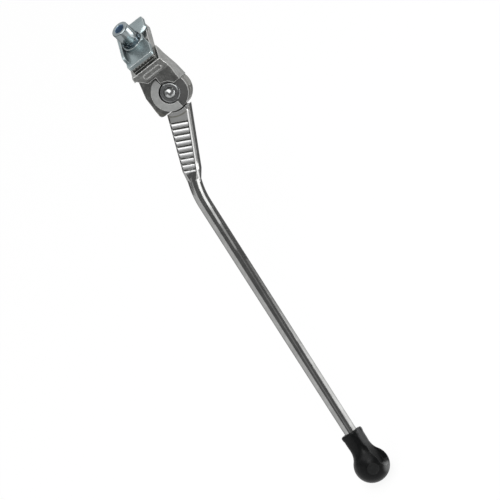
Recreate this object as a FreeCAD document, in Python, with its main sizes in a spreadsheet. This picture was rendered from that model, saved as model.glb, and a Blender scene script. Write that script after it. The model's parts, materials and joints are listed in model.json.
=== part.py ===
import FreeCAD, Part
import math
import os
import re
import Sketcher

# Center kickstand for a bicycle, shown deployed.
# Frame: origin on the clamp bolt at the seat of the head, +Z up the bolt, +X forward, +Y to the left.
# The pivot frame has its origin on the pivot axis, x forward, y down the leg and z out along the axis.

# Driving dimensions in millimetres and degrees
SIZES = [
    ("seat_width", 19.6, "width of the clamp arm, fore and aft"),
    ("seat_reach", 22.6, "reach of the arm from the bolt to its free end"),
    ("seat_thickness", 3.6, "thickness of the arm"),
    ("seat_corner", 4.0, "corner radius at the free end of the arm"),
    ("boss_diameter", 15.0, "threaded boss under the arm"),
    ("boss_height", 7.0, "height of the threaded boss"),
    ("rail_width", 3.4, "width of each gripping rail"),
    ("rail_height", 3.4, "height of each gripping rail"),
    ("rail_inset", 0.6, "step from the edge of the clamp plate to a rail"),
    ("wall_width", 4.6, "width of the rear wall of the arm"),
    ("wall_far", 10.5, "far end of the rear wall beyond the bolt"),
    ("wall_drop", 0.2, "rear wall below the top of the rails"),
    ("tooth_pitch", 2.7, "pitch of the gripping teeth"),
    ("tooth_depth", 1.5, "depth of the notches between the teeth"),
    ("plate_length", 44.4, "length of the clamp plate across the bicycle"),
    ("plate_shift", 0.7, "centre of the clamp plate beyond the bolt"),
    ("plate_width", 21.5, "width of the clamp plate, fore and aft"),
    ("plate_thickness", 3.0, "thickness of the clamp plate"),
    ("plate_corner", 2.0, "corner radius of the clamp plate"),
    ("lip_height", 4.2, "height of the turned-up front edge of the clamp plate"),
    ("lip_thickness", 2.1, "thickness of the turned-up edge"),
    ("lip_near", 14.6, "reach of the turned-up edge from the bolt to the left"),
    ("lip_far", 16.4, "reach of the turned-up edge from the bolt to the right"),
    ("lip_round", 3.4, "rounding of the ends of the turned-up edge"),
    ("notch_near", 10.0, "near end of the notch in the rear edge of the clamp plate"),
    ("notch_tip", 6.3, "deepest point of that notch beyond the bolt"),
    ("notch_far", 11.6, "far end of that notch beyond the bolt"),
    ("notch_depth", 4.9, "depth of that notch"),
    ("bolt_diameter", 8.0, "shank of the clamp bolt"),
    ("bolt_length", 40.0, "length of the clamp bolt below its head"),
    ("bolt_head_diameter", 13.0, "diameter of the socket head"),
    ("bolt_head_height", 12.0, "height of the socket head"),
    ("bolt_key", 6.4, "width across the flats of the hexagon socket"),
    ("bolt_key_depth", 5.0, "depth of the hexagon socket"),
    ("bolt_head_chamfer", 0.7, "chamfer round the top of the socket head"),
    ("bolt_fit", 0.08, "radial clearance of the bolt in its holes"),
    ("washer_diameter", 16.5, "outer diameter of the flat washer"),
    ("washer_thickness", 2.6, "thickness of the flat washer"),
    ("lock_diameter", 14.6, "outer diameter of the toothed lock washer"),
    ("lock_thickness", 2.8, "thickness of the toothed lock washer"),
    ("lock_tooth_width", 2.0, "width of a notch in the lock washer"),
    ("lock_tooth_depth", 1.3, "depth of a notch in the lock washer"),
    ("lock_teeth", 10, "notches round the lock washer"),
    ("pivot_side", 22.0, "pivot to the left of the bolt axis"),
    ("pivot_drop", 30.0, "pivot below the seat"),
    ("pivot_tilt", 33.0, "tilt of the pivot axis above the horizontal"),
    ("front_wall", 24.9, "outer wall of the head to the left of the bolt axis"),
    ("block_face", 13.7, "face of the head block above the face of the cheek"),
    ("strip_face", 6.0, "face of the forward strip above the face of the cheek"),
    ("cheek_thickness", 7.5, "thickness of the cheek behind the eye"),
    ("head_top_width", 24.6, "width of the head at the seat"),
    ("head_rear", 13.5, "rear wall of the head behind the pivot"),
    ("head_front", 17.2, "forward edge of the head before the pivot"),
    ("web_end", 3.9, "end of the rear wall above the pivot"),
    ("lug_reach", 11.1, "reach of the stop lug below the pivot"),
    ("lug_round", 3.0, "rounding of the stop lug"),
    ("back_wall", 8.4, "back of the head to the left of the bolt axis, at the arm"),
    ("corner_width", 5.3, "width of the cut-away forward corner of the head block"),
    ("corner_rise", 6.0, "height of that corner"),
    ("window_radius", 9.0, "opening of the head block round the pivot washer"),
    ("badge_length", 17.0, "length of the bare oval rim on the outer wall"),
    ("badge_height", 4.6, "height of the bare oval rim"),
    ("badge_rim", 0.7, "width of the oval rim"),
    ("badge_relief", 0.5, "relief of the oval rim"),
    ("badge_drop", 5.5, "centre of the oval below the seat"),
    ("badge_shift", 1.4, "centre of the oval behind the bolt axis"),
    ("eye_radius", 13.3, "radius of the eye of the leg"),
    ("eye_thickness", 7.4, "thickness of the eye without its stop ring"),
    ("ring_height", 2.0, "height of the stop ring on the eye"),
    ("ring_start", 79.0, "angle from straight ahead to the upper end of the stop ring"),
    ("ring_end", 98.0, "angle from straight ahead to the lower end of the stop ring"),
    ("face_gap", 0.3, "gap between the faces of the eye and the head"),
    ("washer_gap", 0.05, "gap between the eye and the domed washer"),
    ("sweep_gap", 0.4, "gap round the eye as it swings"),
    ("shoulder_gap", 0.7, "gap from the shoulder of the leg to the head"),
    ("stop_gap", 0.4, "gap from the leg to the stop lug when deployed"),
    ("rivet_diameter", 7.0, "shank of the pivot rivet"),
    ("rivet_head_diameter", 8.6, "diameter of the domed rivet head"),
    ("rivet_head_height", 3.0, "height of the domed rivet head"),
    ("rivet_tail_diameter", 10.0, "diameter of the closed end of the rivet"),
    ("rivet_tail_height", 2.0, "height of the closed end of the rivet"),
    ("rivet_fit", 0.06, "radial clearance of the rivet and the bush"),
    ("bush_wall", 1.0, "wall of the pivot bush"),
    ("cup_diameter", 15.2, "diameter of the domed washer under the rivet head"),
    ("cup_thickness", 1.3, "thickness of the domed washer"),
    ("cup_edge", 0.3, "thickness of the domed washer at its edge"),
    ("cup_round", 1.8, "rounding of the domed washer towards its edge"),
    ("cup_flat_diameter", 12.4, "flat centre of the domed washer"),
    ("back_washer_diameter", 14.0, "washer under the closed end of the rivet"),
    ("back_washer_thickness", 1.2, "thickness of that washer"),
    ("knee_forward", 29.7, "bend of the leg in front of the pivot"),
    ("knee_down", 65.9, "bend of the leg below the pivot"),
    ("thigh_lean", 26.5, "forward lean of the ribbed upper leg"),
    ("shin_lean", 5.43, "forward lean of the round lower leg"),
    ("knee_radius", 60.0, "radius of the bend of the leg"),
    ("leg_axis_lift", 3.0, "axis of the leg above the face of the cheek"),
    ("thigh_width", 17.4, "width of the upper leg at the eye"),
    ("thigh_depth", 11.0, "depth of the upper leg at the eye"),
    ("thigh_top", 62.0, "upper end of the ribbed leg above the bend"),
    ("ankle_width", 12.2, "width of the ribbed leg at its lower end"),
    ("ankle_depth", 10.6, "depth of the ribbed leg at its lower end"),
    ("ankle_rise", 15.0, "lower end of the ribbed leg above the bend"),
    ("blend_rise", 7.0, "end of the faceted blend above the bend"),
    ("blend_width", 9.2, "width and depth of the faceted blend at its end"),
    ("blend_bevel", 2.7, "bevel of the faceted blend at its end"),
    ("thigh_bevel", 1.6, "bevel along the upper leg"),
    ("ankle_bevel", 1.5, "bevel at the lower end of the ribbed leg"),
    ("rod_diameter", 10.0, "round leg at the bend"),
    ("rod_tip_diameter", 9.2, "round leg at the foot"),
    ("shin_length", 225.4, "bend to the lower end of the rod"),
    ("rib_pitch", 4.3, "pitch of the ribs"),
    ("rib_count", 9, "grooves between the ribs"),
    ("rib_groove", 2.4, "width of a groove between two ribs"),
    ("rib_depth", 1.1, "depth of a groove between two ribs"),
    ("rib_wall", 0.3, "run of the steep wall of a groove"),
    ("rib_floor", 0.8, "end of the floor of a groove, where its slope begins"),
    ("rib_border", 0.7, "border between the grooves and the rear edge of the leg"),
    ("rib_turn", 3.0, "slant of that border to the upper leg"),
    ("rib_top", 51.0, "first groove above the bend"),
    ("moat_width", 1.0, "groove between the eye and the upper leg"),
    ("moat_depth", 3.2, "depth of that groove"),
    ("foot_grip", 23.8, "length of rod inside the rubber foot"),
    ("foot_collar_diameter", 14.0, "collar of the rubber foot"),
    ("foot_collar_height", 10.4, "straight length of the collar"),
    ("foot_bulb_radius", 12.9, "radius of the round end of the foot"),
    ("foot_bulb_center", 27.6, "centre of the round end below the collar"),
    ("foot_flare_radius", 15.0, "radius of the hollow flare of the foot"),
    ("foot_flare_angle", 52.0, "angle at which the flare meets the round end"),
    ("foot_flat", 8.2, "floor of the hollow down the foot from the axis of the rod"),
    ("foot_flat_width", 9.6, "width of that hollow"),
    ("foot_flat_end", 4.2, "end of that hollow below the centre of the round end"),
    ("foot_flat_angle", 68.0, "turn of that hollow from the pivot axis to the rear"),
    ("foot_rim", 0.4, "height of the rim round the mouth of the foot"),
    ("foot_rim_width", 3.0, "width of that rim"),
    ("foot_fit", 0.05, "radial clearance of the foot on the rod"),
    ("detent_inset", 3.9, "detent inside the edge of the eye"),
    ("detent_angle", 225.0, "angle of the detent from straight ahead"),
    ("detent_diameter", 4.0, "diameter of the detent plunger"),
    ("detent_length", 3.2, "length of the detent plunger"),
    ("detent_fit", 0.06, "radial clearance of the plunger in its bore"),
    ("detent_bore_depth", 6.2, "depth of the detent bore"),
    ("detent_travel", 0.9, "travel of the plunger into the eye"),
    ("spring_diameter", 3.6, "outer diameter of the detent spring"),
    ("spring_wire", 0.6, "wire of the detent spring"),
    ("spring_turns", 3, "turns of the detent spring"),
    ("spring_play", 0.03, "gap at each end of the detent spring"),
    ("fold_angle", 90.0, "swing of the leg from deployed to folded"),
]

doc = FreeCAD.newDocument("center_kickstand")
sheet = doc.addObject("Spreadsheet::Sheet", "Sizes")
for row, (alias, number, meaning) in enumerate(SIZES, start=1):
    sheet.set("A%d" % row, meaning)
    sheet.set("B%d" % row, str(number))
    sheet.setAlias("B%d" % row, alias)
doc.recompute()
NAMES = {alias for alias, number, meaning in SIZES}


# Expressions and sketches
def expr(text):
    """Turn a formula of plain size names into an expression on the sheet."""
    def on_sheet(word):
        return "Sizes." + word[0] if word[0] in NAMES else word[0]

    return re.sub(r"[a-z][a-z0-9_]*", on_sheet, str(text))


def size(text):
    """Value of a formula of size names."""
    result = sheet.evalExpression(expr(text))
    return float(getattr(result, "Value", result))


def bind(item, prop, text):
    item.setExpression(prop, expr(text))


def new_body(label):
    body = doc.addObject("PartDesign::Body", label)
    body.Label = label
    return body


def origin_item(body, role):
    return next(item for item in body.Origin.OriginFeatures if item.Role == role)


def new_sketch(body, name, role="XY_Plane", base=("0", "0", "0"), axis=None, angle=None):
    """Sketch on an origin plane of the body, moved and turned within that plane's own axes."""
    sketch = body.newObject("Sketcher::SketchObject", name)
    sketch.AttachmentSupport = [(origin_item(body, role), "")]
    sketch.MapMode = "FlatFace"
    turn = FreeCAD.Rotation(FreeCAD.Vector(*axis), size(angle)) if axis else FreeCAD.Rotation()
    sketch.AttachmentOffset = FreeCAD.Placement(FreeCAD.Vector(*[size(part) for part in base]), turn)
    for letter, part in zip("xyz", base):
        bind(sketch, "AttachmentOffset.Base." + letter, part)
    if axis:
        bind(sketch, "AttachmentOffset.Rotation.Angle", angle)
    return sketch


def pivot_sketch(body, name, lift="0"):
    """Sketch of the head on a plane across the pivot axis, lifted above the face of the cheek."""
    base = (
        "0",
        "pivot_side + (%s) * cos(pivot_tilt)" % lift,
        "-pivot_drop + (%s) * sin(pivot_tilt)" % lift,
    )
    return new_sketch(body, name, "XY_Plane", base, (-1, 0, 0), "90 - pivot_tilt")


def leg_section(body, name, rise, lean, knee_side):
    """Sketch across the leg at a distance from the bend, before it (-1) or after it (1)."""
    base = (
        "knee_forward + (%d) * (%s) * sin(%s)" % (knee_side, rise, lean),
        "leg_axis_lift",
        "-knee_down - (%d) * (%s) * cos(%s)" % (knee_side, rise, lean),
    )
    return new_sketch(body, name, "XZ_Plane", base, (0, -1, 0), lean)


def pin(sketch, item, point, x, y):
    """Fix a point of a sketch at formulas of x and y."""
    for kind, text in (("DistanceX", x), ("DistanceY", y)):
        index = sketch.addConstraint(Sketcher.Constraint(kind, -1, 1, item, point, size(text)))
        sketch.setExpression("Constraints[%d]" % index, expr(text))


def circle(sketch, radius, x="0", y="0"):
    shape = Part.Circle(FreeCAD.Vector(size(x), size(y), 0), FreeCAD.Vector(0, 0, 1), size(radius))
    item = sketch.addGeometry(shape, False)
    index = sketch.addConstraint(Sketcher.Constraint("Radius", item, size(radius)))
    sketch.setExpression("Constraints[%d]" % index, expr(radius))
    pin(sketch, item, 3, x, y)


def arc_between(start, end, radius):
    """Arc from start to end that bulges to the right of the way (radius > 0) or to the left."""
    middle = (start + end) * 0.5
    chord = end - start
    left = FreeCAD.Vector(-chord.y, chord.x, 0).normalize()
    reach = math.sqrt(max(radius * radius - chord.Length ** 2 / 4, 0))
    center = middle + left * math.copysign(reach, radius)
    first, last = (start, end) if radius > 0 else (end, start)
    angles = [math.atan2(point.y - center.y, point.x - center.x) for point in (first, last)]
    whole = Part.Circle(center, FreeCAD.Vector(0, 0, 1), abs(radius))
    return Part.ArcOfCircle(whole, angles[0], angles[1])


def outline(sketch, corners):
    """Closed outline of (x, y) or (x, y, radius) corners; a radius makes the way to the next one an arc."""
    points = [FreeCAD.Vector(size(corner[0]), size(corner[1]), 0) for corner in corners]
    ends = []
    for index, corner in enumerate(corners):
        start, end = points[index], points[(index + 1) % len(points)]
        if len(corner) == 2:
            item = sketch.addGeometry(Part.LineSegment(start, end), False)
            ends.append((item, 1, 2))
            continue
        radius = size(corner[2])
        item = sketch.addGeometry(arc_between(start, end, radius), False)
        ends.append((item, 1, 2) if radius > 0 else (item, 2, 1))
        number = sketch.addConstraint(Sketcher.Constraint("Radius", item, abs(radius)))
        sketch.setExpression("Constraints[%d]" % number, expr("abs(%s)" % corner[2]))
    for index, corner in enumerate(corners):
        item, first, last = ends[index]
        before = ends[index - 1]
        sketch.addConstraint(Sketcher.Constraint("Coincident", before[0], before[2], item, first))
        pin(sketch, item, first, corner[0], corner[1])


def rectangle(sketch, left, bottom, right, top):
    outline(sketch, [(left, bottom), (right, bottom), (right, top), (left, top)])


def octagon(sketch, width, depth, bevel):
    """Rectangle with bevelled corners, centred on the origin of the sketch."""
    across, up = "(%s) / 2" % width, "(%s) / 2" % depth
    outline(sketch, [
        ("%s - %s" % (across, bevel), "-%s" % up),
        (across, "-%s + %s" % (up, bevel)),
        (across, "%s - %s" % (up, bevel)),
        ("%s - %s" % (across, bevel), up),
        ("-%s + %s" % (across, bevel), up),
        ("-%s" % across, "%s - %s" % (up, bevel)),
        ("-%s" % across, "-%s + %s" % (up, bevel)),
        ("-%s + %s" % (across, bevel), "-%s" % up),
    ])


# Features
def grow(body, sketch, length, name, reverse=False):
    pad = body.newObject("PartDesign::Pad", name)
    pad.Profile = sketch
    pad.Reversed = reverse
    bind(pad, "Length", length)
    doc.recompute()
    return pad


def cut(body, sketch, length, name, upward=False):
    """Pocket to the back of the sketch, or upward to its front; it has to remove something."""
    before = body.Shape.Volume
    pocket = body.newObject("PartDesign::Pocket", name)
    pocket.Profile = sketch
    pocket.Reversed = upward
    bind(pocket, "Length", length)
    doc.recompute()
    if body.Shape.Volume >= before:
        raise RuntimeError(name + " removes nothing")
    return pocket


def spin(body, sketch, name):
    """Full revolution about the upright axis of the sketch."""
    turned = body.newObject("PartDesign::Revolution", name)
    turned.Profile = sketch
    turned.ReferenceAxis = (sketch, ["V_Axis"])
    turned.Angle = 360
    doc.recompute()
    return turned


def loft(body, sections, name):
    joined = body.newObject("PartDesign::AdditiveLoft", name)
    joined.Profile = sections[0]
    joined.Sections = sections[1:]
    joined.Ruled = True
    doc.recompute()
    return joined


def row(body, feature, axis, count, pitch, name):
    """Repeat a feature along an axis given as (sketch, axis name)."""
    pattern = body.newObject("PartDesign::LinearPattern", name)
    pattern.Originals = [feature]
    pattern.Direction = (axis[0], [axis[1]])
    bind(pattern, "Occurrences", count)
    bind(pattern, "Length", "(%s - 1) * (%s)" % (count, pitch))
    body.Tip = pattern
    doc.recompute()
    return pattern


def round_edges(body, chosen, radius, name):
    """Fillet the edges of the body that the test picks."""
    base = body.Tip
    names = ["Edge%d" % number for number, edge in enumerate(base.Shape.Edges, start=1) if chosen(edge)]
    if not names:
        raise RuntimeError(name + " finds no edge")
    fillet = body.newObject("PartDesign::Fillet", name)
    fillet.Base = (base, names)
    bind(fillet, "Radius", radius)
    doc.recompute()
    return fillet


def along(edge, direction):
    """True for a straight edge parallel to a direction."""
    if not isinstance(edge.Curve, Part.Line):
        return False
    return abs(abs(edge.Curve.Direction.dot(direction)) - 1) < 1e-6


def close(first, second):
    return abs(first - second) < 1e-4


def place_at_pivot(body, x="0", y="0", z="0"):
    """Put a body that is drawn in the pivot frame where the pivot is, moved within that frame."""
    base = (
        x,
        "pivot_side + (%s) * sin(pivot_tilt) + (%s) * cos(pivot_tilt)" % (y, z),
        "-pivot_drop - (%s) * cos(pivot_tilt) + (%s) * sin(pivot_tilt)" % (y, z),
    )
    turn = FreeCAD.Rotation(FreeCAD.Vector(-1, 0, 0), size("90 - pivot_tilt"))
    body.Placement = FreeCAD.Placement(FreeCAD.Vector(*[size(part) for part in base]), turn)
    for letter, part in zip("xyz", base):
        bind(body, "Placement.Base." + letter, part)
    bind(body, "Placement.Rotation.Angle", "90 - pivot_tilt")


PLATE_TOP = "(rail_height + plate_thickness)"
HEAD_SEAT = "(rail_height + plate_thickness + washer_thickness + lock_thickness)"
EYE_FACE = "(face_gap + eye_thickness)"
CUP_SEAT = "(face_gap + eye_thickness + washer_gap)"
SHOULDER = "(head_rear + shoulder_gap)"
DETENT_RADIUS = "(eye_radius - detent_inset)"
DETENT_X = "%s * cos(detent_angle)" % DETENT_RADIUS
DETENT_Y = "%s * sin(detent_angle)" % DETENT_RADIUS
KNEE_TANGENT = "(knee_radius * tan((thigh_lean - shin_lean) / 2))"


# Head: clamp arm with gripping rails, solid block with the bare oval, stop lug and pivot cheek
def make_head():
    body = new_body("mount_body")

    # Front view across the pivot axis, trimmed below by the side view
    front = pivot_sketch(body, "head_front_view", "-2 * cheek_thickness")
    top = "-(pivot_drop + seat_width)"
    outline(front, [
        ("head_top_width / 2", top),
        ("head_top_width / 2", "-pivot_drop * cos(pivot_tilt)"),
        ("head_front", "-eye_radius / 2"),
        ("head_front", "lug_reach"),
        ("eye_radius / 2", "lug_reach"),
        ("-eye_radius / 2", "-web_end"),
        ("-head_rear", "-web_end"),
        ("-head_rear", "-eye_radius"),
        ("-head_top_width / 2", "-pivot_drop * cos(pivot_tilt)"),
        ("-head_top_width / 2", top),
    ])
    grow(body, front, "4 * cheek_thickness + block_face + front_wall", "head_stock")

    # Side view: everything outside it is cut away
    side = new_sketch(body, "head_side_view", "YZ_Plane", ("0", "0", "-4 * head_front"))
    bend = "(block_face - (front_wall - pivot_side) * cos(pivot_tilt)) / sin(pivot_tilt) - pivot_drop"
    low = "2 * lug_reach + eye_radius"
    outline(side, [
        ("front_wall", "0"),
        ("back_wall", "0"),
        ("back_wall", "-seat_thickness"),
        ("pivot_side - cheek_thickness * cos(pivot_tilt) - web_end * sin(pivot_tilt)",
         "-pivot_drop - cheek_thickness * sin(pivot_tilt) + web_end * cos(pivot_tilt)"),
        ("pivot_side - cheek_thickness * cos(pivot_tilt) + (%s) * sin(pivot_tilt)" % low,
         "-pivot_drop - cheek_thickness * sin(pivot_tilt) - (%s) * cos(pivot_tilt)" % low),
        ("pivot_side + block_face * cos(pivot_tilt) + (%s) * sin(pivot_tilt)" % low,
         "-pivot_drop + block_face * sin(pivot_tilt) - (%s) * cos(pivot_tilt)" % low),
        ("front_wall", bend),
    ])
    far = "4 * (pivot_drop + front_wall + seat_width)"
    rectangle(side, "-" + far, "-" + far, far, far)
    cut(body, side, "8 * head_front", "head_trim", upward=True)

    # Cheek behind the eye
    cheek = pivot_sketch(body, "cheek_view", "-cheek_thickness")
    circle(cheek, "eye_radius")
    grow(body, cheek, "cheek_thickness", "cheek")

    # Room for the eye, for the washer and for the forward strip
    room = pivot_sketch(body, "eye_room_view", "0")
    circle(room, "eye_radius + sweep_gap")
    cut(body, room, "2 * face_gap + eye_thickness", "eye_room", upward=True)
    window = pivot_sketch(body, "washer_room_view", "face_gap + eye_thickness")
    circle(window, "window_radius")
    cut(body, window, "2 * block_face", "washer_room", upward=True)
    strip = pivot_sketch(body, "strip_view", "strip_face")
    strip_top = "(-eye_radius - 2 * sweep_gap)"
    outline(strip, [
        ("0", strip_top),
        ("head_top_width / 2 - corner_width", strip_top),
        ("head_top_width / 2", strip_top + " - corner_rise"),
        ("3 * head_front", strip_top + " - corner_rise"),
        ("3 * head_front", "3 * lug_reach"),
        ("-eye_radius / 2", "3 * lug_reach"),
        ("-eye_radius / 2", "-web_end"),
        ("0", "-web_end"),
    ])
    cut(body, strip, "2 * block_face", "strip_step", upward=True)

    # Rounded lug and lower corners, along the pivot axis
    axis = FreeCAD.Vector(0, size("cos(pivot_tilt)"), size("sin(pivot_tilt)"))
    round_edges(body, lambda edge: along(edge, axis) and close(edge.Vertexes[0].X, size("head_front"))
                and edge.Vertexes[0].Z < -size("pivot_drop"), "lug_round", "lug_rounding")

    # Clamp arm with its threaded boss
    arm = new_sketch(body, "arm_view", "XY_Plane")
    rectangle(arm, "-seat_width / 2", "-seat_reach", "seat_width / 2", "back_wall + seat_thickness")
    grow(body, arm, "seat_thickness", "arm", reverse=True)
    upright = FreeCAD.Vector(0, 0, 1)
    round_edges(body, lambda edge: along(edge, upright) and close(edge.Vertexes[0].Y, -size("seat_reach")),
                "seat_corner", "arm_corners")
    boss = new_sketch(body, "boss_view", "XY_Plane", ("0", "0", "-seat_thickness"))
    circle(boss, "boss_diameter / 2")
    grow(body, boss, "boss_height", "boss", reverse=True)

    # Gripping rails with notches across them
    near_rail = "(plate_length / 2 - plate_shift - rail_inset)"
    far_rail = "-(seat_reach - rail_width)"
    rails = [("near", near_rail, "(seat_width / 2)"), ("far", far_rail, "(seat_width / 2 - seat_corner)")]
    for name, edge, half in rails:
        rail = new_sketch(body, name + "_rail_view", "XY_Plane")
        rectangle(rail, "-" + half, edge + " - rail_width", half, edge)
        grow(body, rail, "rail_height", name + "_rail")
        notch = new_sketch(body, name + "_notch_view", "XZ_Plane", ("0", "0", "-(%s) - rail_width" % edge))
        start = "(-%s + tooth_pitch / 2)" % half
        outline(notch, [
            (start, "rail_height - tooth_depth"),
            (start + " + tooth_pitch / 2", "rail_height + tooth_depth"),
            (start + " - tooth_pitch / 2", "rail_height + tooth_depth"),
        ])
        first = cut(body, notch, "3 * rail_width", name + "_notch", upward=True)
        count = "floor(2 * %s / tooth_pitch)" % half
        row(body, first, (notch, "H_Axis"), count, "tooth_pitch", name + "_notches")

    # Rear wall of the arm behind the bolt, a little lower than the rails
    wall = new_sketch(body, "rear_wall_view", "XY_Plane")
    rectangle(wall, "-seat_width / 2", "-wall_far",
              "-seat_width / 2 + wall_width", near_rail + " - rail_width")
    grow(body, wall, "rail_height - wall_drop", "rear_wall")

    # Bare oval rim on the outer wall
    badge = new_sketch(body, "badge_view", "XZ_Plane", ("-badge_shift", "-badge_drop", "-front_wall"))
    for inset in ("0", "badge_rim"):
        half, tall = "(badge_length / 2 - badge_height / 2)", "(badge_height / 2 - %s)" % inset
        outline(badge, [
            ("-" + half, "-" + tall),
            (half, "-" + tall, "1.1 * " + tall),
            (half, tall),
            ("-" + half, tall, "1.1 * " + tall),
        ])
    grow(body, badge, "badge_relief", "badge", reverse=True)

    # Holes for the bolt, the rivet and the detent
    bolt_hole = new_sketch(body, "bolt_hole_view", "XY_Plane", ("0", "0", "rail_height"))
    circle(bolt_hole, "bolt_diameter / 2 + bolt_fit")
    cut(body, bolt_hole, "rail_height + 2 * seat_thickness + boss_height", "bolt_hole")
    rivet_hole = pivot_sketch(body, "rivet_hole_view", "0")
    circle(rivet_hole, "rivet_diameter / 2 + rivet_fit")
    cut(body, rivet_hole, "2 * cheek_thickness", "rivet_hole")
    bore = pivot_sketch(body, "detent_bore_view", "0")
    circle(bore, "detent_diameter / 2 + detent_fit", DETENT_X, DETENT_Y)
    cut(body, bore, "detent_bore_depth", "detent_bore")
    return body


# Clamp plate with a turned-up forward edge
def make_clamp_plate():
    body = new_body("clamp_plate")
    flat = new_sketch(body, "plate_view", "XY_Plane", ("0", "0", "rail_height"))
    rectangle(flat, "-plate_width / 2", "-plate_length / 2 - plate_shift",
              "plate_width / 2", "plate_length / 2 - plate_shift")
    grow(body, flat, "plate_thickness", "plate")
    upright = FreeCAD.Vector(0, 0, 1)
    round_edges(body, lambda edge: along(edge, upright), "plate_corner", "plate_corners")
    lip = new_sketch(body, "lip_view", "XY_Plane", ("0", "0", PLATE_TOP))
    rectangle(lip, "plate_width / 2 - lip_thickness", "-lip_far", "plate_width / 2", "lip_near")
    grow(body, lip, "lip_height", "lip")
    across = FreeCAD.Vector(1, 0, 0)
    lip_top = size(PLATE_TOP + " + lip_height")
    round_edges(body, lambda edge: along(edge, across) and close(edge.Vertexes[0].Z, lip_top),
                "lip_round", "lip_ends")
    notch = new_sketch(body, "plate_notch_view", "XY_Plane", ("0", "0", PLATE_TOP))
    outline(notch, [
        ("-plate_width / 2", "notch_near"),
        ("-plate_width", "notch_near"),
        ("-plate_width", "-notch_far"),
        ("-plate_width / 2", "-notch_far"),
        ("-plate_width / 2 + notch_depth", "-notch_tip"),
    ])
    cut(body, notch, "plate_thickness", "plate_notch")
    hole = new_sketch(body, "plate_hole_view", "XY_Plane", ("0", "0", PLATE_TOP))
    circle(hole, "bolt_diameter / 2 + bolt_fit")
    cut(body, hole, "plate_thickness", "plate_hole")
    return body


# Socket head clamp bolt
def make_bolt():
    body = new_body("clamp_bolt")
    profile = new_sketch(body, "bolt_profile", "XZ_Plane", ("0", HEAD_SEAT, "0"))
    outline(profile, [
        ("0", "-bolt_length"),
        ("bolt_diameter / 2 - bolt_head_chamfer", "-bolt_length"),
        ("bolt_diameter / 2", "-bolt_length + bolt_head_chamfer"),
        ("bolt_diameter / 2", "0"),
        ("bolt_head_diameter / 2", "0"),
        ("bolt_head_diameter / 2", "bolt_head_height - bolt_head_chamfer"),
        ("bolt_head_diameter / 2 - bolt_head_chamfer", "bolt_head_height"),
        ("0", "bolt_head_height"),
    ])
    spin(body, profile, "bolt_turned")
    socket = new_sketch(body, "socket_view", "XY_Plane", ("0", "0", HEAD_SEAT + " + bolt_head_height"))
    corners = []
    for turn in range(0, 360, 60):
        corners.append(("bolt_key / 2 / cos(30) * cos(%d)" % turn, "bolt_key / 2 / cos(30) * sin(%d)" % turn))
    outline(socket, corners)
    cut(body, socket, "bolt_key_depth", "socket")
    return body


# Flat washer and toothed lock washer under the bolt head
def make_flat_washer():
    body = new_body("flat_washer")
    ring = new_sketch(body, "washer_view", "XY_Plane", ("0", "0", PLATE_TOP))
    circle(ring, "washer_diameter / 2")
    circle(ring, "bolt_diameter / 2 + bolt_fit")
    grow(body, ring, "washer_thickness", "washer")
    return body


def make_lock_washer():
    body = new_body("lock_washer")
    ring = new_sketch(body, "lock_view", "XY_Plane", ("0", "0", PLATE_TOP + " + washer_thickness"))
    circle(ring, "lock_diameter / 2")
    circle(ring, "bolt_diameter / 2 + bolt_fit")
    grow(body, ring, "lock_thickness", "lock_ring")
    notch = new_sketch(body, "lock_notch_view", "XY_Plane", ("0", "0", HEAD_SEAT))
    rectangle(notch, "lock_diameter / 2 - lock_tooth_depth", "-lock_tooth_width / 2",
              "lock_diameter", "lock_tooth_width / 2")
    first = cut(body, notch, "lock_thickness", "lock_notch")
    pattern = body.newObject("PartDesign::PolarPattern", "lock_notches")
    pattern.Originals = [first]
    pattern.Axis = (notch, ["N_Axis"])
    pattern.Angle = 360
    bind(pattern, "Occurrences", "lock_teeth")
    body.Tip = pattern
    doc.recompute()
    return body


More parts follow.
